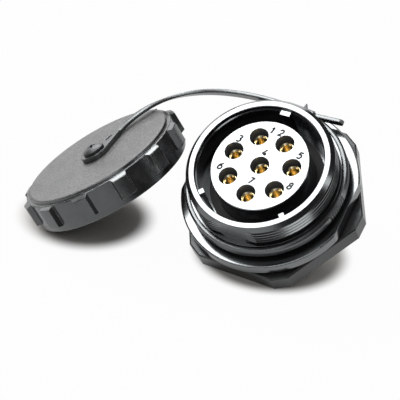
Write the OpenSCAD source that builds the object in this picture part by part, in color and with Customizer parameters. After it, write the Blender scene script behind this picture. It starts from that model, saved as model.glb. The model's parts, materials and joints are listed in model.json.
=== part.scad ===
// Circular panel connector with a screw cap on a strap, as it rests on a table
// Millimetres, +Z up; the connector leans towards -Y on its nut and one solder cup

/* [Barrel] */
// Coupling thread diameter
thread_d = 38; // [35:1:44]
// Coupling thread pitch
thread_pitch = 1.17; // [1:0.01:1.3]
// Turns of coupling thread
thread_turns = 4; // [3:1:5]
// Barrel length in front of the flange
barrel_len = 11.5; // [10.5:0.5:14]
// Wall of the barrel under the coupling thread
barrel_wall = 2.5; // [2:0.1:3]
// Cone that leads on to the coupling thread
lead_in = 1; // [0.6:0.1:1.4]
// Width of the wide key
key_w = 2.7; // [2:0.1:4]
// Width of the two narrow keys
side_key_w = 1.35; // [1.2:0.05:2.6]
// Reach of the wide key into the cavity
key_reach = 1.3; // [1:0.1:2]
// Reach of the narrow keys
side_key_reach = 1.1; // [0.8:0.1:1.6]
// Depth of the keys below the rim
key_drop = 0.85; // [0.5:0.05:1.5]
// Depth of the flat cut through the coupling thread
thread_flat = 1; // [0.6:0.1:1.4]

/* [Flange and panel side] */
// Flange thickness
flange_t = 3; // [2:0.25:5]
// Reach of the flange beyond the neck
flange_lip = 3.5; // [2.5:0.25:5]
// Depth of the two flats on the flange
flange_flat = 1.4; // [0.8:0.1:2]
// Length of the panel thread
panel_len = 8; // [7.5:0.25:10]
// Pitch of the panel thread
panel_pitch = 1.5; // [1:0.25:2]
// Gasket thickness
gasket_t = 1; // [0.8:0.1:1.5]
// Gasket width
gasket_w = 2.2; // [1.5:0.1:3]

/* [Nut] */
// Nut thickness
nut_t = 5; // [4:0.25:5.5]
// Nut wall at its flats
nut_wall = 4.2; // [3:0.1:6]
// Reach of the cut corners beyond the flats
nut_corner = 2.2; // [1.2:0.1:3]
// Chamfer round the nut's faces
nut_chamfer = 0.3; // [0.2:0.05:0.6]

/* [Insert and contacts] */
// Space round the insert for the plug's skirt
skirt_gap = 3.85; // [3.6:0.05:4.4]
// Depth of the insert's face below the rim
insert_drop = 0.8; // [0.4:0.1:1.5]
// Hole round each socket
hole_d = 4.85; // [4.5:0.05:5]
// Socket outside diameter
socket_d = 3.5; // [3.3:0.1:3.6]
// Socket bore
socket_bore = 2.5; // [2.4:0.1:2.7]
// Depth of the sockets below the insert's face
socket_drop = 2.2; // [1.4:0.1:3]
// Depth of the funnel at a socket's mouth
mouth_depth = 0.45; // [0.3:0.05:1.2]
// Solder cup diameter
cup_d = 2.7; // [2.4:0.1:3]
// Length of the contacts behind the insert
cup_len = 8.36; // [7:0.1:10]

/* [Cap] */
// Cap height
cap_h = 8.7; // [8.2:0.1:10]
// Cap wall outside the thread
cap_wall = 2.3; // [1.9:0.1:3]
// Thickness of the cap's top
cap_top = 2.3; // [2:0.1:3]
// Height of the raised disc on the top
disc_h = 0.8; // [0.5:0.1:1.2]
// Number of grip pads
pads = 12; // [8:1:16]
// Width of a grip pad at the wall
pad_w = 4.5; // [3:0.1:6]
// Height of the pads above the wall
pad_proud = 1.3; // [0.8:0.1:1.6]
// Length of a grip pad
pad_len = 6.25; // [4:0.05:7]
// Fall of a pad's top towards its outer face
pad_fall = 0.55; // [0.3:0.05:1]

/* [Strap] */
// Strap thickness
strap_t = 1.1; // [0.9:0.05:1.4]
// Strap width
strap_w = 2.7; // [2.2:0.1:3.2]
// Thickness of the eyelet
eye_t = 1.2; // [1:0.1:1.5]
// Length of the eyelet from the screw to its narrow end
eye_len = 8.5; // [7:0.5:10]
// Length of the tail from the place where its line meets the loop
tail_len = 13.2; // [8:0.1:18]
// Notches across the loop
notches = 8; // [4:1:12]
// Screw diameter
screw_d = 3; // [2.5:0.1:3.5]

/* [Rest pose] */
// Tilt of the cap on its edge
cap_tilt = 33.5; // [28:0.5:36]
// Way that the cap tilts
cap_turn = -160.5; // [-175:0.5:-150]
// Heading of the eyelet on the cap
eye_turn = -123; // [-130:1:-118]
// Turn of the shell in its nut
shell_turn = 1.5; // [-3:0.5:3]

/* [Hidden] */
$fn = 120;

// Fits: a running fit, a loose fit and a threaded or seated fit
run_fit = 0.08;
loose_fit = 0.25;
seat_fit = 0.05;

// Shell, from its axis
thread_r = thread_d / 2;
thread_depth = 0.6 * thread_pitch;
rim_r = thread_r - lead_in;
bore_r = thread_r - barrel_wall;
bore_step = 0.3;
cavity_r = bore_r - bore_step;
neck_r = thread_r + 0.5;
relief_r = thread_r - 0.8;
flange_r = neck_r + flange_lip;
edge_r = 0.4;
panel_r = thread_r - 1;
panel_depth = 0.6 * panel_pitch;
panel_lead = 0.6;
rear_r = panel_r - 3.5;

// Shell, along its axis: 0 is the flange's panel face
rim_z = flange_t + barrel_len;
thread_top = rim_z - 1.1 * lead_in;
thread_low = thread_top - (thread_turns + 0.15) * thread_pitch;
neck_top = thread_low - 0.9;
web_top = flange_t + 1;
web_low = web_top - 3;
key_top = rim_z - key_drop;
step_z = rim_z - 1.2;

// Nut and gasket
nut_front = gasket_t;
nut_back = nut_front + nut_t;
nut_a = panel_r + nut_wall;
nut_c = nut_a + nut_corner;
nut_lead = 0.6;

// Insert and contacts
insert_r = bore_r - skirt_gap;
insert_z = rim_z - insert_drop;
collar_r = insert_r + 1.7;
collar_len = 3.5;
insert_rear = web_low - collar_len - 4;
block_r = insert_r - 0.6;
hole_rim = 1.975;
ring_r = insert_r - hole_d / 2 - hole_rim;
ring_n = 7;
ring_pitch = 360 / ring_n;
hole_low = web_top + 1;
land_low = hole_low - 3;
socket_r = socket_d / 2;
stop_r = socket_r + 0.5;
stop_t = 2;
socket_z = insert_z - socket_drop;
socket_depth = 9;
mouth_r = socket_r - 0.15;
cup_end = cup_len - insert_rear;
cup_bore = cup_d - 0.8;
cup_depth = 5;
scoop_len = 3.6;
scoop_side = 0.35;
retainer_t = 2;
slot_w = 1.6;
slot_len = 3;

// Cap, from its axis; 0 is the top of its disc
cap_bore = thread_r + 0.1;
cap_r = cap_bore + cap_wall;
disc_r = cap_r - 1;
pad_r = cap_r + pad_proud;
pad_root = cap_r - 1.2;
pad_top = -disc_h - pad_fall;
pad_low = -disc_h - pad_len;
pad_draft = 0.3;
seal_t = 1.2;
boss_r = 3.4;
boss_h = 1.7;
screw_r = screw_d / 2;
head_r = screw_r + 1.4;
head_h = 1.4;
play = 0.1;
screw_len = 2 * play + eye_t + cap_top + boss_h;

// Strap
loop_in = neck_r + loose_fit;
loop_m = loop_in + strap_t / 2;
loop_out = loop_in + strap_t;
loop_low = flange_t + 1.7;
loop_high = loop_low + strap_w;
loop_z = (loop_low + loop_high) / 2;
loop_edge = 0.45;
notch_turn = -12;
notch_pitch = 2.3;
notch_w = 0.4;
notch_depth = 0.35;
eye_r = screw_r + 2.4;
eye_tip = strap_w / 2;
slit_x = eye_r + 1.1;
slit_len = 1.6;
slit_r = 0.45;
span_m = loop_m + 0.6;
span_turn = 85;
span_lift = 4;
span_pull_a = 8;
span_pull_b = 38.5;
span_n = 40;
tail_turn = 94.5;
tail_t = 0.8 * strap_t;
tail_w = 0.7 * strap_w;
tail_start = 3;
lock_turn = 86;
lock_len = 4.5;
lock_w = 4;
lock_low = loop_in + 0.3;
lock_top = span_m + strap_t / 2 + 0.1;
lock_edge = 0.7;
fin_turn = 87.7;
fin_root = lock_top - 0.4;
fin_h = 2.2;
fin_w = 2;

// Rest pose: the nut's rear edge and one solder cup are on the table
cup_reach = ring_r + cup_d / 2;
rest_reach = nut_a - nut_chamfer;
lean = atan((cup_end - nut_back) / (rest_reach - cup_reach));
seat_z = rest_reach * sin(lean) + nut_back * cos(lean);
cap_tuck = 0.9;
cap_away = cap_r + nut_c - cap_tuck;
cap_front = 11.84;
pad_turn = asin(pad_half(pad_r) / pad_r);
pad_tips = [for (i = [0 : pads - 1], s = [-1, 0, 1]) let (a = i * 360 / pads + s * pad_turn)
    cap_way([pad_r * cos(a), pad_r * sin(a), pad_top])];
left = min([for (p = pad_tips) p.x]) - cap_away;
front = min([for (p = pad_tips) p.y]) - cap_front;
back = nut_a * cos(lean) + nut_back * sin(lean);
conn_x = -(left + nut_c) / 2;
conn_y = -(front + back) / 2;
cap_x = conn_x - cap_away;
cap_y = conn_y - cap_front;
cap_z = cap_h * cos(cap_tilt) + cap_r * sin(cap_tilt);

// Places of the connector and the cap, for solids and for points

module on_connector() translate([conn_x, conn_y, seat_z]) rotate([lean, 0, 0]) children();
module on_shell() on_connector() rotate(shell_turn) children();
module on_cap() translate([cap_x, cap_y, cap_z]) rotate([0, 0, cap_turn]) rotate([0, cap_tilt, 0]) children();

function tip(v) = [v.x, v.y * cos(lean) - v.z * sin(lean), v.y * sin(lean) + v.z * cos(lean)];
function connector_at(p) = [conn_x, conn_y, seat_z] + tip(p);
function spin(v) =
    [v.x * cos(cap_turn) - v.y * sin(cap_turn), v.x * sin(cap_turn) + v.y * cos(cap_turn), v.z];
function cap_way(v) =
    spin([v.x * cos(cap_tilt) + v.z * sin(cap_tilt), v.y, v.z * cos(cap_tilt) - v.x * sin(cap_tilt)]);
function cap_at(p) = [cap_x, cap_y, cap_z] + cap_way(p);
function polar(r, a) = [r * cos(a), r * sin(a)];
function unit(v) = v / norm(v);

// Shapes used by several pieces

module ring(r_out, r_in, low, high)
    translate([0, 0, low]) difference() {
        cylinder(r = r_out, h = high - low);
        translate([0, 0, -1]) cylinder(r = r_in, h = high - low + 2);
    }

// Half section of V grooves cut into a wall of radius r, inwards or outwards
module grooves(r, low, pitch, depth, count, way = -1) {
    half_mouth = 0.39 * pitch;
    half_root = 0.04 * pitch;
    for (i = [0 : count - 1]) translate([r, low + i * pitch])
        polygon([[-way * 0.02, -half_mouth], [-way * 0.02, half_mouth],
            [way * depth, half_root], [way * depth, -half_root]]);
}

// Rectangle from the axis with both outer corners rounded
module rounded_band(r, low, high, e) {
    translate([0, low]) square([r - e, high - low]);
    translate([0, low + e]) square([r, high - low - 2 * e]);
    translate([r - e, low + e]) circle(r = e, $fn = 40);
    translate([r - e, high - e]) circle(r = e, $fn = 40);
}

// Shell: barrel, neck, flange and panel thread in one moulding

module shell_section()
    difference() {
        union() {
            polygon([[0, -panel_len], [panel_r - panel_lead, -panel_len], [panel_r, -panel_len + panel_lead],
                [panel_r, 0.5], [0, 0.5]]);
            rounded_band(flange_r, 0, flange_t, edge_r);
            translate([0, flange_t - 0.5]) square([neck_r, neck_top - flange_t + 0.5]);
            translate([0, neck_top - 0.1]) square([relief_r, thread_low - neck_top + 0.2]);
            polygon([[0, thread_low], [thread_r - 0.3, thread_low], [thread_r, thread_low + 0.15],
                [thread_r, thread_top], [rim_r, rim_z - 0.1], [rim_r - 0.1, rim_z], [0, rim_z]]);
        }
        grooves(thread_r, thread_low + 0.84 * thread_pitch, thread_pitch, thread_depth, thread_turns);
        grooves(panel_r, panel_lead - panel_len + 0.7 * panel_pitch, panel_pitch, panel_depth,
            floor((panel_len - 2) / panel_pitch));
        polygon([[-1, web_top], [cavity_r, web_top], [cavity_r, step_z - 0.2], [bore_r, step_z],
            [bore_r, rim_z - 0.15], [bore_r + 0.15, rim_z + 0.01], [bore_r + 0.15, rim_z + 1],
            [-1, rim_z + 1]]);
        translate([-1, web_low - 1]) square([insert_r + seat_fit + 1, 5]);
        translate([-1, -panel_len - 1]) square([rear_r + 1, panel_len + 1 + web_low]);
    }

module key(turn, w, reach)
    rotate(turn) translate([cavity_r - reach, -w / 2, web_top - 0.5])
        cube([reach + 0.6, w, key_top - web_top + 0.5]);

module shell() color([0.05, 0.05, 0.055]) on_shell() {
    difference() {
        rotate_extrude() shell_section();
        for (s = [-1, 1]) translate([s * (flange_r - flange_flat + 5), 0, flange_t / 2])
            cube([10, 60, flange_t + 0.02], center = true);
        translate([-15, -thread_r + thread_flat - 10, neck_top]) cube([30, 10, barrel_len]);
    }
    key(90, key_w, key_reach);
    key(-135, side_key_w, side_key_reach);
    key(-45, side_key_w, side_key_reach);
}

module coupling_seal() color([0.1, 0.1, 0.1]) on_connector()
    ring(cavity_r - key_reach - 0.1, insert_r + seat_fit, web_top, web_top + 1.2);

// Insert: a carrier with one stepped hole for each contact

function contact_place(n) =
    n == 4 ? [0, 0] : polar(ring_r, -90 + ring_pitch * [4, 3, 5, 0, 2, 6, 0, 1][n - 1]);

module insert() color([0.12, 0.12, 0.125]) on_shell()
    difference() {
        rotate_extrude() polygon([[0, insert_rear], [block_r, insert_rear], [block_r, web_low - collar_len],
            [collar_r, web_low - collar_len], [collar_r, web_low], [insert_r, web_low],
            [insert_r, insert_z - 0.2], [insert_r - 0.2, insert_z], [0, insert_z]]);
        for (n = [1 : 8]) translate(contact_place(n)) {
            translate([0, 0, hole_low]) cylinder(d = hole_d, h = insert_z);
            translate([0, 0, land_low - 1]) cylinder(r = socket_r + seat_fit, h = hole_low - land_low + 2);
            translate([0, 0, insert_rear - 1])
                cylinder(r = stop_r + seat_fit, h = land_low - insert_rear + 1);
        }
    }

// Contact: socket with a funnel in front, stop collar, solder cup behind with its scoop

module contact_solid()
    difference() {
        union() {
            rotate_extrude() polygon([[0, land_low - stop_t], [stop_r, land_low - stop_t], [stop_r, land_low],
                [socket_r, land_low], [socket_r, socket_z - 0.1], [socket_r - 0.1, socket_z], [0, socket_z]]);
            translate([0, 0, insert_rear]) cylinder(d = socket_d, h = land_low - insert_rear - 1);
            translate([0, 0, -cup_end]) cylinder(d = cup_d, h = cup_end + land_low - 1);
        }
        translate([0, 0, socket_z - socket_depth]) cylinder(d = socket_bore, h = socket_depth + 1);
        translate([0, 0, socket_z - mouth_depth])
            cylinder(r1 = socket_bore / 2, r2 = mouth_r, h = mouth_depth + 0.001);
        translate([0, 0, -cup_end - 1]) cylinder(d = cup_bore, h = cup_depth + 1);
        translate([-cup_d, scoop_side, -cup_end - 1]) cube([2 * cup_d, cup_d, scoop_len + 1]);
    }

module contact(n) color([0.85, 0.65, 0.3]) on_shell() translate(contact_place(n)) contact_solid();
module contact_1() contact(1);
module contact_2() contact(2);
module contact_3() contact(3);
module contact_4() contact(4);
module contact_5() contact(5);
module contact_6() contact(6);
module contact_7() contact(7);
module contact_8() contact(8);

// Ring behind the insert's collar, with two slots for a key

module insert_retainer() color([0.3, 0.3, 0.31]) on_shell()
    translate([0, 0, web_low - collar_len - retainer_t]) difference() {
        ring(rear_r - seat_fit, block_r + seat_fit, 0, retainer_t);
        for (s = [-1, 1]) translate([s * (rear_r - 1), 0, 0])
            cube([slot_len, slot_w, retainer_t], center = true);
    }

module panel_gasket() color([0.09, 0.09, 0.09]) on_connector()
    ring(panel_r + seat_fit + gasket_w, panel_r + seat_fit, -gasket_t, 0);

// Nut: six flats with cut corners and a chamfer round both faces

module hex_nut() color([0.13, 0.13, 0.135]) on_connector()
    translate([0, 0, -nut_back]) difference() {
        intersection() {
            rotate(0) cylinder(r = nut_a / cos(30), h = nut_t, $fn = 6);
            rotate(30) cylinder(r = nut_c / cos(30), h = nut_t, $fn = 6);
        }
        translate([0, 0, -1]) cylinder(r = panel_r + seat_fit, h = nut_t + 2);
        for (i = [0 : 11], z = [0, nut_t])
            rotate(30 * i) translate([(i % 2 == 1) ? nut_a : nut_c, 0, z]) rotate([0, 45, 0])
                cube([nut_chamfer * sqrt(2), 40, nut_chamfer * sqrt(2)], center = true);
        translate([0, 0, -0.01]) cylinder(r1 = panel_r + nut_lead, r2 = panel_r, h = nut_lead);
        translate([0, 0, nut_t - nut_lead + 0.01])
            cylinder(r1 = panel_r, r2 = panel_r + nut_lead, h = nut_lead);
    }

// Cap: raised disc, grip pads and a threaded skirt

module cap_section()
    difference() {
        union() {
            rounded_band(cap_r, -cap_h, -disc_h, 0.3);
            intersection() {
                rounded_band(disc_r, -3, 0, 0.7);
                translate([0, -2]) square([cap_r, 2]);
            }
        }
        translate([-1, -cap_h - 1]) square([cap_bore + 1, cap_h + 1 - cap_top]);
        polygon([[cap_bore - 1, -cap_h - 0.01], [cap_bore + 0.5, -cap_h - 0.01],
            [cap_bore - 1, -cap_h + 1.5]]);
        grooves(cap_bore, -cap_h + 1.2, thread_pitch, 0.5 * thread_pitch, 4, 1);
    }

// Half width of a pad, which narrows away from the wall
function pad_half(r) = pad_w / 2 - pad_draft * (r - cap_r);

module pad_strips() {
    low = cap_r - 1.5;
    high = pad_r + 1;
    for (i = [0 : pads - 1]) rotate(i * 360 / pads) translate([0, 0, -cap_h]) linear_extrude(cap_h)
        polygon([[low, -pad_half(low)], [high, -pad_half(high)],
            [high, pad_half(high)], [low, pad_half(low)]]);
}

module cap() color([0.14, 0.14, 0.145]) on_cap()
    difference() {
        union() {
            rotate_extrude() cap_section();
            intersection() {
                pad_strips();
                rotate_extrude() polygon([[pad_root, -disc_h - 0.1], [cap_r - 0.2, -disc_h - 0.1],
                    [pad_r - 0.15, pad_top], [pad_r, pad_top - 0.15], [pad_r, pad_low + 0.4],
                    [cap_r - 0.1, pad_low], [pad_root, pad_low]]);
            }
            translate([0, 0, -cap_top - boss_h]) cylinder(r = boss_r, h = boss_h + 0.5);
        }
        translate([0, 0, -cap_top - boss_h + 0.4]) cylinder(r = screw_r + 0.02, h = 10);
    }

module cap_seal() color([0.1, 0.1, 0.1]) on_cap()
    ring(cap_bore - 0.2, bore_r - 0.8, -cap_top - seal_t, -cap_top);

// Pan-head screw with a cross recess

module strap_screw() color([0.12, 0.12, 0.125]) on_cap()
    translate([0, 0, 2 * play + eye_t]) difference() {
        union() {
            rotate_extrude() intersection() {
                square([head_r, head_h]);
                translate([0, head_h - 5.2]) circle(r = 5.2);
            }
            translate([0, 0, 0.5 - screw_len]) cylinder(r = screw_r, h = screw_len);
        }
        for (a = [0, 90]) rotate(a + 20) translate([-1.1, -0.28, head_h - 0.8]) cube([2.2, 0.56, 2]);
    }

// Strap: an eyelet on the cap, a free span, a loop round the neck, a lock head and a tail

// Outline of the eyelet: two rounds and the strip between their common tangents
module eye_outline() {
    a = acos((eye_r - eye_tip) / eye_len);
    circle(r = eye_r);
    translate([eye_len, 0]) circle(r = eye_tip);
    polygon([polar(eye_r, a), [eye_len, 0] + polar(eye_tip, a),
        [eye_len, 0] + polar(eye_tip, -a), polar(eye_r, -a)]);
}

module eye() rotate(eye_turn) translate([0, 0, play]) difference() {
    linear_extrude(eye_t) eye_outline();
    translate([0, 0, -1]) cylinder(r = screw_r + run_fit, h = eye_t + 2);
    translate([slit_x, -slit_r, -1]) cube([slit_len, 2 * slit_r, eye_t + 2]);
    for (x = [slit_x, slit_x + slit_len]) translate([x, 0, -1]) cylinder(r = slit_r, h = eye_t + 2);
}

// Centre line of the free span, a cubic curve from the eyelet's tip into the lock head
span_a = cap_at([eye_len * cos(eye_turn), eye_len * sin(eye_turn), play + eye_t / 2]);
span_b = connector_at([span_m * cos(span_turn), span_m * sin(span_turn), loop_z]);
way_a = cap_way([cos(span_lift) * cos(eye_turn), cos(span_lift) * sin(eye_turn), sin(span_lift)]);
way_b = tip([sin(span_turn), -cos(span_turn), 0]);
pull_a = span_a + span_pull_a * way_a;
pull_b = span_b - span_pull_b * way_b;
up_a = cap_way([0, 0, 1]);
up_b = tip([cos(span_turn), sin(span_turn), 0]);

function span_at(t) = pow(1 - t, 3) * span_a + 3 * t * pow(1 - t, 2) * pull_a
    + 3 * t * t * (1 - t) * pull_b + pow(t, 3) * span_b;
function span_way(t) = unit(pow(1 - t, 2) * (pull_a - span_a) + 2 * t * (1 - t) * (pull_b - pull_a)
    + t * t * (span_b - pull_b));
function span_up(t) = let (d = span_way(t), m = up_a + (up_b - up_a) * t * t * (3 - 2 * t))
    unit(m - (m * d) * d);

// Eight-sided strap section and its corners at one place on the span
half_w = strap_w / 2 - 0.08;
half_t = strap_t / 2 - 0.04;
cut = 0.25;
outline = [[half_w, half_t - cut], [half_w - cut, half_t], [cut - half_w, half_t], [-half_w, half_t - cut],
    [-half_w, cut - half_t], [cut - half_w, -half_t], [half_w - cut, -half_t], [half_w, cut - half_t]];
function span_ring(t, back = 0) =
    let (d = span_way(t), u = span_up(t), s = cross(d, u), c = span_at(t) - back * d)
    [for (q = outline) c + q[0] * s + q[1] * u];

module span() {
    rings = concat([span_ring(0, 1.2)], [for (i = [0 : span_n]) span_ring(i / span_n)],
        [span_ring(1, -0.6)]);
    n = len(rings) - 1;
    polyhedron(
        points = [for (r = rings) each r],
        faces = concat(
            [for (k = [1 : 6]) [0, k + 1, k]],
            [for (k = [1 : 6]) [8 * n, 8 * n + k, 8 * n + k + 1]],
            [for (i = [0 : n - 1], k = [0 : 7]) [8 * i + k, 8 * i + (k + 1) % 8, 8 * i + 8 + k]],
            [for (i = [0 : n - 1], k = [0 : 7])
                [8 * i + (k + 1) % 8, 8 * i + 8 + (k + 1) % 8, 8 * i + 8 + k]]),
        convexity = 4);
}

// Loop: a band with bevelled outer edges and a row of notches across it
module loop() difference() {
    rotate_extrude() polygon([[loop_in, loop_low], [loop_out - loop_edge, loop_low],
        [loop_out, loop_low + loop_edge], [loop_out, loop_high - loop_edge],
        [loop_out - loop_edge, loop_high], [loop_in, loop_high]]);
    for (i = [0 : notches - 1]) rotate(notch_turn + i * notch_pitch)
        translate([loop_out - notch_depth, -notch_w / 2, loop_low - 1]) cube([1, notch_w, strap_w + 2]);
}

// Tail: it comes out of the lock head along a tangent and ends in a half round
module tail() rotate(tail_turn) translate([loop_m, 0, loop_z]) rotate([0, 90, 0])
    translate([0, 0, -tail_t / 2]) linear_extrude(tail_t) {
        translate([-tail_w / 2, -tail_len + tail_w / 2]) square([tail_w, tail_len - tail_w / 2 - tail_start]);
        translate([0, -tail_len + tail_w / 2]) circle(d = tail_w);
    }

module lock_head() rotate(lock_turn) difference() {
    translate([lock_low, -lock_len / 2, loop_z - lock_w / 2]) cube([lock_top - lock_low, lock_len, lock_w]);
    for (s = [-1, 1]) translate([lock_top, 0, loop_z + s * lock_w / 2]) rotate([0, 45, 0])
        cube([lock_edge, lock_len + 1, lock_edge], center = true);
}

// Fin on the lock head, where a finger lets the strap go
module fin() rotate(fin_turn) translate([fin_root, 0, loop_z]) intersection() {
    linear_extrude(2 * fin_w, center = true) polygon([[0, -0.8], [0, 0.8], [fin_h, 0.95], [fin_h, 0.7]]);
    rotate([90, 0, 0]) linear_extrude(2 * fin_w, center = true)
        polygon([[0, -fin_w / 2], [0, fin_w / 2], [fin_h, 0.15], [fin_h, -0.15]]);
}

module strap() color([0.2, 0.2, 0.205]) {
    on_cap() eye();
    on_connector() {
        loop();
        tail();
        lock_head();
        fin();
    }
    span();
}

shell();
coupling_seal();
insert();
contact_1();
contact_2();
contact_3();
contact_4();
contact_5();
contact_6();
contact_7();
contact_8();
insert_retainer();
panel_gasket();
hex_nut();
strap();
strap_screw();
cap();
cap_seal();
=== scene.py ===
"""Looks of a circular panel connector with a screw cap on a strap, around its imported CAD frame."""

import json
import math

import bpy
import numpy as np
from mathutils import Matrix, Vector


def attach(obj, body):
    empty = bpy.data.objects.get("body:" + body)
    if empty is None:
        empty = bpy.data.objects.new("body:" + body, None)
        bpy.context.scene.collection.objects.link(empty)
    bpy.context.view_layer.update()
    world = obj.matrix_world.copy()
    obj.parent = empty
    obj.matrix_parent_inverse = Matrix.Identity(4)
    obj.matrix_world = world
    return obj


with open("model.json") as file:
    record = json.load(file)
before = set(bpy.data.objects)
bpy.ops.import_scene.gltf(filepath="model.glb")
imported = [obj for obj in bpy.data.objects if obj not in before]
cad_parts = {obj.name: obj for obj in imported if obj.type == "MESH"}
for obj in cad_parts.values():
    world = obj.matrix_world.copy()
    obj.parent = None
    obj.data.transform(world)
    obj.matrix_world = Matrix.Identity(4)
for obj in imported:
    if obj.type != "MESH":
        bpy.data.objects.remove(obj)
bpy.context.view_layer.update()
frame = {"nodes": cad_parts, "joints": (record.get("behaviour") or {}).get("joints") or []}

MM = 0.001


# Places on the object

def joint(name):
    """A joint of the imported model, by its name."""
    return next(j for j in frame["joints"] if j["name"] == name)


# The connector's own frame: its axis and the centre of its panel face come from the nut's joint
NUT_JOINT = joint("nut_turn")
NUT_MIDDLE = 3.5 * MM
AXIS = np.array(NUT_JOINT["axis"])
SEAT = np.array(NUT_JOINT["pos_m"]) + NUT_MIDDLE * AXIS
ACROSS = np.array([1.0, 0.0, 0.0])
UPWARD = np.cross(AXIS, ACROSS)
RIM_HEIGHT = 14.5 * MM
INSERT_HEIGHT = 13.7 * MM

# The shell's own turn about that axis
SHELL_TURN = math.radians(1.5)
SHELL_UPWARD = math.cos(SHELL_TURN) * UPWARD - math.sin(SHELL_TURN) * ACROSS
SHELL_ACROSS = math.cos(SHELL_TURN) * ACROSS + math.sin(SHELL_TURN) * UPWARD

# The cap's axis and the middle of its top, just under the eyelet that the joint is in
CAP_JOINT = joint("cap_turn")
EYELET_MIDDLE = 0.7 * MM
CAP_AXIS = np.array(CAP_JOINT["axis"])
CAP_PLACE = np.array(CAP_JOINT["pos_m"]) - EYELET_MIDDLE * CAP_AXIS


def on_connector(x, y, z):
    """Points given along the connector's own three axes, from its panel face."""
    x, y, z = np.broadcast_arrays(x, y, z)
    return SEAT + x[..., None] * ACROSS + y[..., None] * UPWARD + z[..., None] * AXIS


RIM_CENTRE = on_connector(0.0, 0.0, RIM_HEIGHT)


# Shader maths

class Socket:
    """A shader output that works in Python sums; each sum adds a Math node."""

    def __init__(self, finish, link):
        self.finish = finish
        self.link = link

    def maths(self, operation, first, second):
        return self.finish.node("ShaderNodeMath", {"operation": operation}, {0: first, 1: second})

    def __add__(self, other):
        return self.maths("ADD", self, other)

    def __radd__(self, other):
        return self.maths("ADD", other, self)

    def __sub__(self, other):
        return self.maths("SUBTRACT", self, other)

    def __rsub__(self, other):
        return self.maths("SUBTRACT", other, self)

    def __mul__(self, other):
        return self.maths("MULTIPLY", self, other)

    def __rmul__(self, other):
        return self.maths("MULTIPLY", other, self)

    def __truediv__(self, other):
        return self.maths("DIVIDE", self, other)

    def __rtruediv__(self, other):
        return self.maths("DIVIDE", other, self)


# The Mix node's sockets for colours, whose names it shares with its other kinds
MIX_FIRST = 6
MIX_SECOND = 7
MIX_RESULT = 2


class Finish:
    """One material with a Principled shader, and the nodes that feed it."""

    def __init__(self, name):
        self.material = bpy.data.materials.new(name)
        self.material.use_nodes = True
        self.tree = self.material.node_tree
        self.tree.nodes.clear()
        self.out = self.tree.nodes.new("ShaderNodeOutputMaterial")
        self.shader = self.tree.nodes.new("ShaderNodeBsdfPrincipled")
        self.tree.links.new(self.shader.outputs["BSDF"], self.out.inputs["Surface"])

    def node(self, kind, settings=None, values=None, output=0):
        """Any node: its settings first, then the values or links of its sockets."""
        made = self.tree.nodes.new(kind)
        for key, value in (settings or {}).items():
            if key == "stops":
                ramp = made.color_ramp.elements
                while len(ramp) < len(value):
                    ramp.new(0.5)
                for element, (place, colour) in zip(ramp, value):
                    element.position = place
                    element.color = colour
            else:
                setattr(made, key, value)
        for key, value in (values or {}).items():
            self.feed(made.inputs[key], value)
        return Socket(self, made.outputs[output])

    def feed(self, socket, value):
        """A link into a socket, or a constant set on it."""
        if isinstance(value, Socket):
            self.tree.links.new(value.link, socket)
        else:
            socket.default_value = value

    def set(self, **values):
        """Constants and links on the Principled shader, by socket name with _ for a space."""
        for key, value in values.items():
            self.feed(self.shader.inputs[key.replace("_", " ")], value)

    def place(self):
        """The surface point, in metres."""
        return self.node("ShaderNodeTexCoord", output="Object")

    def vector_value(self, operation, *vectors):
        """The number that a vector operation gives."""
        values = dict(enumerate(vectors))
        return self.node("ShaderNodeVectorMath", {"operation": operation}, values, output="Value")

    def along(self, way, origin):
        """Distance of a surface point from an origin along a direction, in millimetres."""
        scaled = [float(v) / MM for v in way]
        return self.vector_value("DOT_PRODUCT", self.place(), scaled) - float(np.dot(way, origin)) / MM

    def away(self, origin):
        """Distance of a surface point from an origin, in millimetres."""
        return self.vector_value("DISTANCE", self.place(), origin) / MM

    def noise(self, size, detail=3.0, rough=0.55, where=None):
        """Noise whose features are about size metres across, 0 to 1."""
        values = {"Vector": where or self.place(), "Scale": 1.0 / size, "Detail": detail, "Roughness": rough}
        return self.node("ShaderNodeTexNoise", {"noise_dimensions": "3D"}, values)

    def step(self, value, low, high):
        """0 below one value, 1 above the other, smooth between."""
        settings = {"interpolation_type": "SMOOTHSTEP", "clamp": True}
        values = {"Value": value, "From Min": low, "From Max": high, "To Min": 0.0, "To Max": 1.0}
        return self.node("ShaderNodeMapRange", settings, values)

    def ramp(self, value, *stops):
        """A number carried along straight lines between stops, each a value and its level."""
        levels = [(place, grey(level)) for place, level in stops]
        return self.node("ShaderNodeValToRGB", {"stops": levels}, {"Fac": value})

    def mix(self, amount, first, second):
        """Colour between two colours."""
        values = {"Factor": amount, MIX_FIRST: first, MIX_SECOND: second}
        return self.node("ShaderNodeMix", {"data_type": "RGBA"}, values, output=MIX_RESULT)

    def flow_mix(self, flow, first, second):
        """Colour between two colours, in the slow marks that a melt leaves as it flows."""
        return self.mix(self.ramp(flow, (0.35, 0.0), (0.7, 1.0)), first, second)

    def worn_edge(self, radius):
        """Normal with the sharp edges of a moulding rounded off."""
        return self.node("ShaderNodeBevel", {"samples": 4}, {"Radius": radius})

    def edge_wear(self, radius):
        """1 along sharp edges and 0 on flats: how far the rounded normal departs from the true one."""
        true_normal = self.node("ShaderNodeNewGeometry", output="True Normal")
        agree = self.vector_value("DOT_PRODUCT", self.worn_edge(radius), true_normal)
        return self.step(1.0 - agree, 0.01, 0.15)

    def bump(self, height, distance, normal=None):
        """Normal of a surface raised by a height from 0 to 1 times a distance in metres."""
        values = {"Height": height, "Distance": distance, "Strength": 1.0}
        if normal:
            values["Normal"] = normal
        return self.node("ShaderNodeBump", None, values)


def grey(value, warm=0.0):
    """A grey, with more red and less blue where it is warm."""
    return (value * (1 + warm), value, value * (1 - warm), 1.0)


# Finishes, whose distances are in millimetres where they come from along and away

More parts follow.
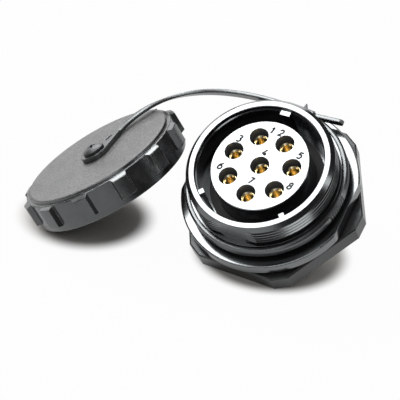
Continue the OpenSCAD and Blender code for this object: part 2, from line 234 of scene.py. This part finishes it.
COOL_GLOSS = (0.93, 0.98, 1.0, 1.0)
GILT_BRIGHT = (1.0, 0.88, 0.6, 1.0)
GILT_DULL = (0.95, 0.75, 0.4, 1.0)

# Where the paler middle of the insert, painted light standing in for light bounced inside its holes, gives
# way to the black ring round its edge, from the axis
PAINTED_HOLE_LIGHT_EDGE = (12.35, 12.55)

# The flat that is cut through the coupling thread: below the axis, and along it from the panel face
FLAT_BELOW = (-17.96, -17.9)
FLAT_ALONG = (7.6, 8.0)
TOOL_SLOPE = 0.9
TOOL_WIDTH = 0.3
TOOL_LENGTH = 3.0

# Where the cap's top ends and its sides begin, along the cap's axis
CAP_TOP_EDGE = (-0.35, -0.15)


def moulded_plastic(name, base, light, roughness, spread, grain, grain_depth, ior, edge):
    """Black moulded plastic: faint flow marks, uneven gloss, a fine skin and rounded edges."""
    f = Finish(name)
    flow = f.noise(6 * MM, 4.0)
    skin = f.noise(grain, 2.0)
    f.set(Base_Color=f.flow_mix(flow, base, light),
          Roughness=roughness + spread * (flow - 0.5) + 0.5 * spread * (skin - 0.5),
          Normal=f.bump(skin, grain_depth, f.worn_edge(edge)),
          IOR=ior, Specular_Tint=COOL_GLOSS)
    return f.material


def insert_plastic(name):
    """Smooth plastic of the contact carrier: paler where its holes are, as painted light bounced inside them,
    black round its edge.
    """
    f = Finish(name)
    across = f.node("ShaderNodeCombineXYZ", None, {"X": f.along(ACROSS, SEAT), "Y": f.along(UPWARD, SEAT)})
    edge = f.step(f.vector_value("LENGTH", across), *PAINTED_HOLE_LIGHT_EDGE)
    flow = f.noise(5 * MM, 4.0)
    skin = f.noise(0.15 * MM, 2.0)
    # Paler within the ring, which is painted light inside the holes; black outside it
    f.set(Base_Color=f.mix(edge, f.flow_mix(flow, grey(0.11), grey(0.14)), grey(0.012)),
          Roughness=0.17 + 0.06 * (flow - 0.5) + 0.03 * (skin - 0.5),
          Normal=f.bump(skin, 0.001 * MM, f.worn_edge(0.08 * MM)),
          IOR=2.2, Specular_Tint=COOL_GLOSS)
    return f.material


def shell_plastic(name):
    """Glossy black plastic with fine slanting tool strokes on the flat that is cut through the thread."""
    f = Finish(name)
    x = f.along(SHELL_ACROSS, SEAT)
    y = f.along(SHELL_UPWARD, SEAT)
    z = f.along(AXIS, SEAT)
    on_flat = (1.0 - f.step(y, *FLAT_BELOW)) * f.step(z, *FLAT_ALONG)
    slant = {"X": (x - TOOL_SLOPE * z) / TOOL_WIDTH, "Y": (x + z) / TOOL_LENGTH}
    strokes = f.noise(1.0, 2.0, 0.6, f.node("ShaderNodeCombineXYZ", None, slant))
    flow = f.noise(6 * MM, 4.0)
    skin = f.noise(0.15 * MM, 2.0)
    plain = f.flow_mix(flow, grey(0.004), grey(0.007))
    hatched = f.mix(f.ramp(strokes, (0.4, 0.0), (0.62, 1.0)), grey(0.006), grey(0.04))
    f.set(Base_Color=f.mix(on_flat, plain, hatched),
          Roughness=0.16 + 0.06 * (flow - 0.5) + 0.04 * (skin - 0.5) + 0.15 * on_flat,
          Normal=f.bump(0.06 * skin + on_flat * strokes, 0.02 * MM, f.worn_edge(0.12 * MM)),
          IOR=2.2, Specular_Tint=COOL_GLOSS)
    return f.material


def cap_plastic(name):
    """Black plastic: speckled grain and smears on the cap's top, scuffs and rubbed edges on its sides."""
    f = Finish(name)
    top = f.step(f.along(CAP_AXIS, CAP_PLACE), *CAP_TOP_EDGE)
    grain = f.noise(0.5 * MM, 2.0, 0.7)
    scuff = f.noise(3 * MM, 4.0, 0.7)
    flow = f.noise(5 * MM, 4.0)
    smear = f.noise(11 * MM, 3.0, 0.6)
    rubbed = f.edge_wear(0.3 * MM) * f.step(f.noise(2 * MM, 4.0, 0.7), 0.4, 0.65)
    plain = f.mix(f.ramp(scuff, (0.4, 0.0), (0.7, 1.0)), grey(0.009), grey(0.03))
    side = f.mix(rubbed, plain, grey(0.2))
    speckle = f.ramp(0.85 * grain + 0.15 * scuff, (0.42, 0.0), (0.58, 1.0))
    face = f.mix(speckle * f.ramp(smear, (0.35, 0.55), (0.65, 1.0)), grey(0.007), grey(0.1, 0.08))
    f.set(Base_Color=f.mix(top, side, face),
          Roughness=0.2 + 0.16 * (flow - 0.5) + 0.25 * top + 0.1 * (grain - 0.5) + 0.2 * rubbed,
          Normal=f.bump((0.1 + top) * grain, 0.14 * MM, f.worn_edge(0.2 * MM)),
          IOR=1.85, Specular_Tint=COOL_GLOSS)
    return f.material


def gilt(name):
    """Gilt contact metal with fine turning marks and darker tarnish."""
    f = Finish(name)
    stain = f.noise(1.2 * MM)
    marks = f.noise(0.12 * MM, 2.0)
    f.set(Base_Color=f.mix(f.ramp(stain, (0.4, 0.0), (0.75, 1.0)), GILT_BRIGHT, GILT_DULL),
          Roughness=0.14 + 0.1 * marks, Metallic=1.0, Normal=f.bump(marks, 0.004 * MM))
    return f.material


def seal_rubber(name):
    """Dull black rubber, a little paler and rougher where dust clings."""
    f = Finish(name)
    dust = f.noise(0.5 * MM)
    f.set(Base_Color=f.mix(dust, grey(0.018), grey(0.035)), Roughness=0.65 + 0.2 * dust,
          Normal=f.bump(dust, 0.01 * MM))
    return f.material


def ink(name):
    """Matt black ink, worn in fine spots."""
    f = Finish(name)
    worn = f.noise(0.15 * MM, 2.0)
    f.set(Base_Color=f.mix(worn, grey(0.015), grey(0.04)), Roughness=0.75 + 0.2 * worn,
          Specular_IOR_Level=0.1)
    return f.material


RUBBER = seal_rubber("seal_rubber")
GILT = gilt("contact_gilt")
INK = ink("number_ink")
NODE_FINISH = {
    "shell": shell_plastic("shell_black"),
    "insert": insert_plastic("insert_painted_hole_light"),
    "hex_nut": moulded_plastic("nut_black", grey(0.008), grey(0.016), roughness=0.28, spread=0.12,
                               grain=0.12 * MM, grain_depth=0.006 * MM, ior=1.5, edge=0.3 * MM),
    "cap": cap_plastic("cap_black"),
    "strap": moulded_plastic("strap_black", grey(0.012), grey(0.02), roughness=0.2, spread=0.1,
                             grain=0.12 * MM, grain_depth=0.003 * MM, ior=2.0, edge=0.5 * MM),
    "strap_screw": moulded_plastic("screw_black", grey(0.012), grey(0.02), roughness=0.36, spread=0.1,
                                   grain=0.1 * MM, grain_depth=0.003 * MM, ior=1.55, edge=0.1 * MM),
    "insert_retainer": moulded_plastic("ring_black", grey(0.025), grey(0.035), roughness=0.4, spread=0.1,
                                       grain=0.12 * MM, grain_depth=0.004 * MM, ior=1.55, edge=0.1 * MM),
    "coupling_seal": RUBBER,
    "panel_gasket": RUBBER,
    "cap_seal": RUBBER,
}
for node_name, node_object in frame["nodes"].items():
    finish = GILT if node_name.startswith("contact_") else NODE_FINISH[node_name]
    node_object.data.materials.clear()
    node_object.data.materials.append(finish)


# Meshes

def add_mesh(name, points, faces, finish):
    """An object at the origin from its points and flat faces."""
    mesh = bpy.data.meshes.new(name)
    mesh.from_pydata(points.tolist(), [], faces.tolist())
    mesh.validate()
    mesh.materials.append(finish)
    obj = bpy.data.objects.new(name, mesh)
    bpy.context.scene.collection.objects.link(obj)
    return obj


# Numbers on the insert

def arc(cx, cy, rx, ry, start, end, count=14):
    """Points on an ellipse from one angle to another, in degrees."""
    t = np.radians(np.linspace(start, end, count))
    return np.stack([cx + rx * np.cos(t), cy + ry * np.sin(t)], 1)


def corners(*points):
    """Points of a line with corners."""
    return np.array(points, float)


def joined(*lines):
    """One line through the points of several."""
    return np.concatenate(lines)


# Each digit's strokes, in a box one high and about 0.6 wide
DIGITS = {
    1: [corners((0.06, 0.76), (0.38, 1.0)),
        corners((0.34, 1.0), (0.34, 0.0))],
    2: [joined(arc(0.3, 0.7, 0.28, 0.3, 165, -35), corners((0.06, 0.0))),
        corners((0.0, 0.06), (0.6, 0.06))],
    3: [arc(0.28, 0.75, 0.25, 0.25, 150, -90),
        arc(0.28, 0.27, 0.29, 0.27, 90, -150)],
    4: [corners((0.42, 0.0), (0.42, 0.5)),
        corners((0.34, 1.0), (0.0, 0.24)),
        corners((0.0, 0.24), (0.62, 0.24))],
    5: [corners((0.58, 0.96), (0.06, 0.96)),
        corners((0.12, 1.0), (0.06, 0.5)),
        arc(0.28, 0.32, 0.3, 0.32, 120, -145)],
    6: [joined(corners((0.5, 1.0)), arc(0.34, 0.34, 0.32, 0.5, 120, 190, 6)),
        arc(0.31, 0.3, 0.29, 0.3, 0, 360, 22)],
    7: [corners((0.0, 0.96), (0.6, 0.96)),
        corners((0.54, 1.0), (0.2, 0.0))],
    8: [arc(0.3, 0.75, 0.23, 0.25, 0, 360, 22),
        arc(0.3, 0.26, 0.29, 0.26, 0, 360, 22)],
}
DIGIT_MIDDLE = (0.3, 0.5)
DIGIT_HEIGHT = 1.75 * MM
DIGIT_SLANT = 0.25
STROKE_WIDTH = 0.45 * MM

# Levels of a stroke's four edges over the insert's face: two on top and two sunk in it
INK_DEPTH = 0.03 * MM
INK_LEVELS = np.array([0.5, 0.5, -1.0, -1.0]) * INK_DEPTH

# Each number's middle: distance from the axis in millimetres, and angle in degrees
DIGIT_PLACES = {1: (10.1, 97.2), 2: (10.1, 83.8), 3: (9.8, 147.6), 4: (3.7, 94.2),
                5: (10.3, 34.1), 6: (10.0, 199.8), 7: (4.6, -90.9), 8: (10.3, -15.7)}


def unit(ways):
    """Directions brought to length one."""
    return ways / np.maximum(np.linalg.norm(ways, axis=1, keepdims=True), 1e-12)


def ribbon(line, width):
    """Both edges of a strip: points half the width to each side of a line's mean direction there."""
    step = unit(np.diff(line, axis=0))
    way = unit(np.concatenate([step[:1], step[:-1] + step[1:], step[-1:]]))
    side = np.stack([-way[:, 1], way[:, 0]], 1) * width / 2
    return line + side, line - side


def number(digit):
    """Closed thin strips along a digit's strokes, slanted, standing on the insert's face.

    Each point of a stroke gives a ring of four corners, and faces join each ring to the next."""
    radius, angle = DIGIT_PLACES[digit]
    turn = math.radians(angle)
    middle = radius * MM * np.array([math.cos(turn), math.sin(turn)])
    points, faces, first = [], [], 0
    for stroke in DIGITS[digit]:
        flat = (stroke - DIGIT_MIDDLE) * DIGIT_HEIGHT
        flat[:, 0] += DIGIT_SLANT * flat[:, 1]
        left, right = ribbon(flat + middle, STROKE_WIDTH)
        ring = np.stack([left, right, right, left], 1)
        solid = on_connector(ring[..., 0], ring[..., 1], INSERT_HEIGHT + INK_LEVELS)
        points.append(solid.reshape(-1, 3))
        row, k = np.meshgrid(np.arange(len(flat) - 1), np.arange(4), indexing="ij")
        a = 4 * row + k
        b = 4 * row + (k + 1) % 4
        sides = np.stack([a, a + 4, b + 4, b], -1).reshape(-1, 4)
        end = 4 * (len(flat) - 1)
        ends = np.array([[0, 1, 2, 3], [end + 3, end + 2, end + 1, end]])
        faces.append(np.concatenate([sides, ends]) + first)
        first += 4 * len(flat)
    piece = add_mesh("number_%d" % digit, np.concatenate(points), np.concatenate(faces), INK)
    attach(piece, "connector")


for digit in DIGITS:
    number(digit)


# Floor, light and camera

FLOOR_REACH = 3.0
FLOOR_DROP = 0.02 * MM
# The floor's grey, which darkens the two round zones below as painted shadow
FLOOR_PAINTED_SHADOW_GREY = (0.4, 0.39, 0.37, 1.0)
FLOOR_WHITE = 0.97

# Where the floor turns from painted shadow to white: the middle of each round zone of painted shadow, fixed
# on the floor where the cap and the nut lie at rest, and distances in millimetres
CAP_PAINTED_SHADOW_MIDDLE = np.array([-28.0, -5.2, 0.0]) * MM
CAP_PAINTED_SHADOW_REACH = (13.2, 19.5)
NUT_PAINTED_SHADOW_MIDDLE = np.array([20.5, 6.5, 0.0]) * MM
NUT_PAINTED_SHADOW_REACH = (16.5, 21.5)

ROOM_LEVEL = 0.05

# Each lamp: the way to it from the rim, then its distance, width, height and radiance
LAMPS = {
    "key_light": ((-0.417, -0.217, 0.883), 1.5, 0.4, 0.4, 7.5),
    "side_light": ((-0.69, 0.4, 0.6), 1.5, 0.95, 0.45, 6.5),
    "top_panel": ((-0.3, 0.1, 0.95), 1.5, 2.3, 2.3, 1.33),
    "back_panel": ((-0.74, 0.66, 0.22), 1.5, 1.8, 0.6, 1.4),
    "front_panel": ((0.08, -0.76, 0.64), 1.4, 2.0, 0.45, 2.4),
    "right_strip": ((0.8, 0.15, 0.58), 1.5, 0.3, 0.9, 2.5),
}

CAMERA_FROM_RIM = np.array([215.985, -427.058, 253.845]) * MM
CAMERA_AZIMUTH = 28.49
CAMERA_ELEVATION = 29.0
CAMERA_ROLL = 3.79
CAMERA_LENS = 198.0
SENSOR_WIDTH = 36.0
CLIP_END = 10.0


def white_floor_with_painted_shadows():
    """Floor with painted shadows: grey in two fixed round zones, where the shadow's shape comes from the
    lamps but part of its depth is this painted grey, and plain white away from them to the eye and in gloss.
    """
    f = Finish("floor_white_painted_shadows")
    f.set(Base_Color=FLOOR_PAINTED_SHADOW_GREY, Roughness=0.9, Specular_IOR_Level=0.1)
    # Painted shadow: 0 inside the two round zones, where the grey floor shows, and 1 outside them, where it
    # turns white
    clear = f.step(f.away(CAP_PAINTED_SHADOW_MIDDLE), *CAP_PAINTED_SHADOW_REACH) * f.step(f.away(NUT_PAINTED_SHADOW_MIDDLE), *NUT_PAINTED_SHADOW_REACH)
    seen = f.node("ShaderNodeLightPath", output="Is Camera Ray")
    mirrored = f.node("ShaderNodeLightPath", output="Is Glossy Ray")
    through = f.node("ShaderNodeLightPath", output="Is Transmission Ray")
    rays = f.node("ShaderNodeMath", {"operation": "ADD", "use_clamp": True}, {0: seen + mirrored, 1: through})
    white = f.node("ShaderNodeEmission", None, {"Color": grey(1.0), "Strength": 1.0})
    plain = Socket(f, f.shader.outputs["BSDF"])
    both = f.node("ShaderNodeMixShader", None, {0: FLOOR_WHITE * rays * clear, 1: plain, 2: white})
    f.feed(f.out.inputs["Surface"], both)
    square = np.array([[-1, -1, 0], [1, -1, 0], [1, 1, 0], [-1, 1, 0]]) * FLOOR_REACH
    floor = add_mesh("floor", square, np.array([[0, 1, 2, 3]]), f.material)
    floor.location.z = -FLOOR_DROP


def room(level):
    """Dim even room."""
    world = bpy.data.worlds.new("dim_room")
    world.use_nodes = True
    bpy.context.scene.world = world
    back = world.node_tree.nodes["Background"]
    back.inputs["Color"].default_value = grey(1.0)
    back.inputs["Strength"].default_value = level


def softbox(name, way, distance, width, height, radiance):
    """Rectangular lamp of a given brightness, facing the rim from a direction."""
    lamp = bpy.data.lights.new(name, "AREA")
    lamp.shape = "RECTANGLE"
    lamp.size = width
    lamp.size_y = height
    lamp.energy = 4.0 * radiance * width * height
    obj = bpy.data.objects.new(name, lamp)
    towards = Vector(way).normalized()
    obj.location = Vector(RIM_CENTRE) + towards * distance
    obj.rotation_euler = towards.to_track_quat("Z", "Y").to_euler()
    obj.visible_camera = False
    bpy.context.scene.collection.objects.link(obj)


def camera(place, azimuth, elevation, roll, lens):
    """Camera at a place, turned by its azimuth, elevation and roll in degrees."""
    a, e, r = (math.radians(v) for v in (azimuth, elevation, roll))
    ahead = Vector((-math.cos(e) * math.sin(a), math.cos(e) * math.cos(a), -math.sin(e)))
    level = Vector((math.cos(a), math.sin(a), 0))
    above = level.cross(ahead)
    right = math.cos(r) * level + math.sin(r) * above
    up = right.cross(ahead)
    data = bpy.data.cameras.new("view")
    data.lens = lens
    data.sensor_width = SENSOR_WIDTH
    data.clip_end = CLIP_END
    obj = bpy.data.objects.new("view", data)
    turn = Matrix((right, up, -ahead)).transposed()
    obj.matrix_world = Matrix.Translation(place) @ turn.to_4x4()
    bpy.context.scene.collection.objects.link(obj)
    bpy.context.scene.camera = obj


white_floor_with_painted_shadows()
room(ROOM_LEVEL)
for lamp_name, lamp_values in LAMPS.items():
    softbox(lamp_name, *lamp_values)
camera(Vector(RIM_CENTRE + CAMERA_FROM_RIM), CAMERA_AZIMUTH, CAMERA_ELEVATION, CAMERA_ROLL, CAMERA_LENS)
bpy.context.scene.view_settings.view_transform = "Standard"
